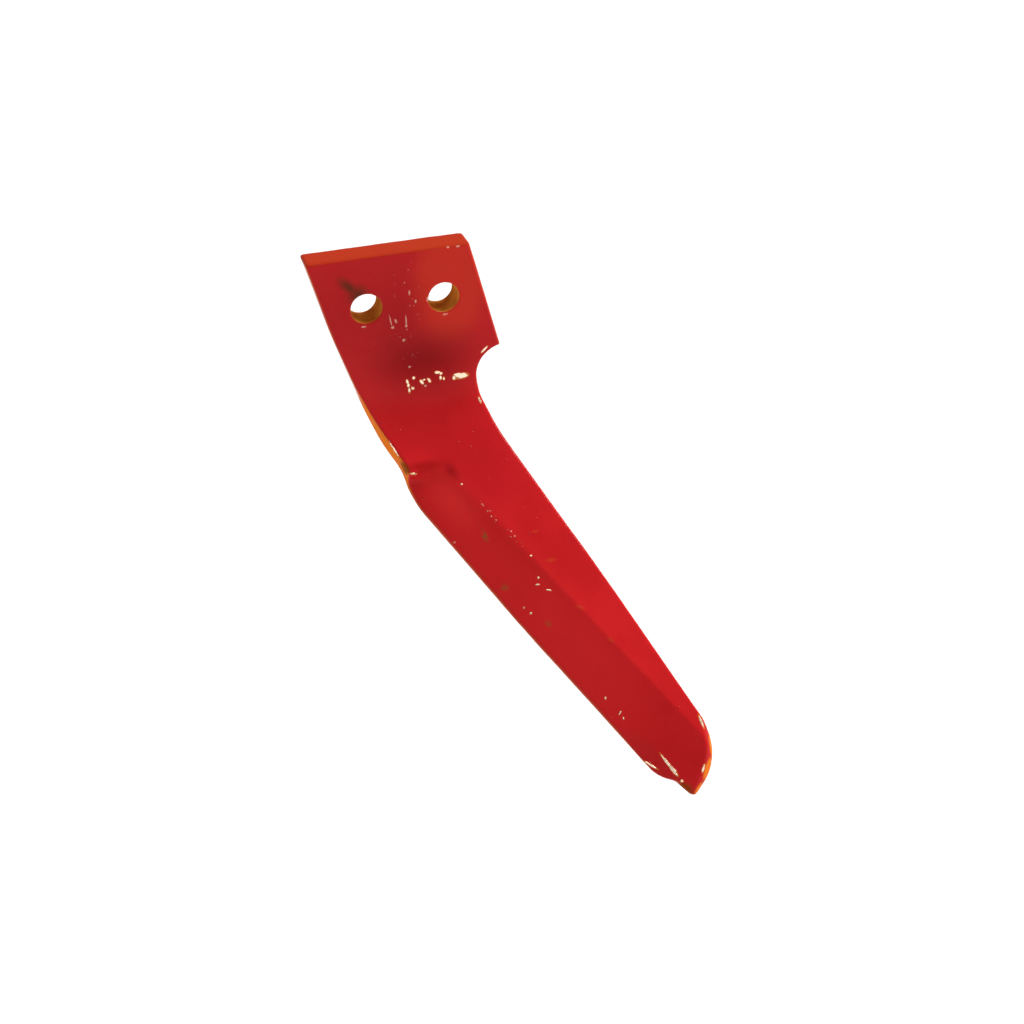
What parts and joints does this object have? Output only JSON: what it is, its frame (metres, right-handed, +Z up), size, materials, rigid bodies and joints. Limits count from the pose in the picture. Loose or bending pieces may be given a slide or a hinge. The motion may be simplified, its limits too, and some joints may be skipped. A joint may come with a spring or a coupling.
{
  "type": "rotary harrow tine",
  "caption": "Bent flat steel tine with a two-hole bolt-on head and a long bevelled blade that sweeps forward and to one side to a short hooked tip.",
  "frame": {"origin": "midpoint between the two bolt holes, on the flat back face of the head that seats on the holder", "axes": "+X along the line of the two holes, towards the side the blade sweeps to; +Z up the head, away from the blade; +Y into the holder, so the blade leans towards -Y"},
  "size_m": [0.1845, 0.1907, 0.2846],
  "materials": {
    "painted_steel": "glossy red paint over forged steel"
  },
  "bodies": {
    "root": {"tine": "painted_steel"}
  },
  "joints": []
}
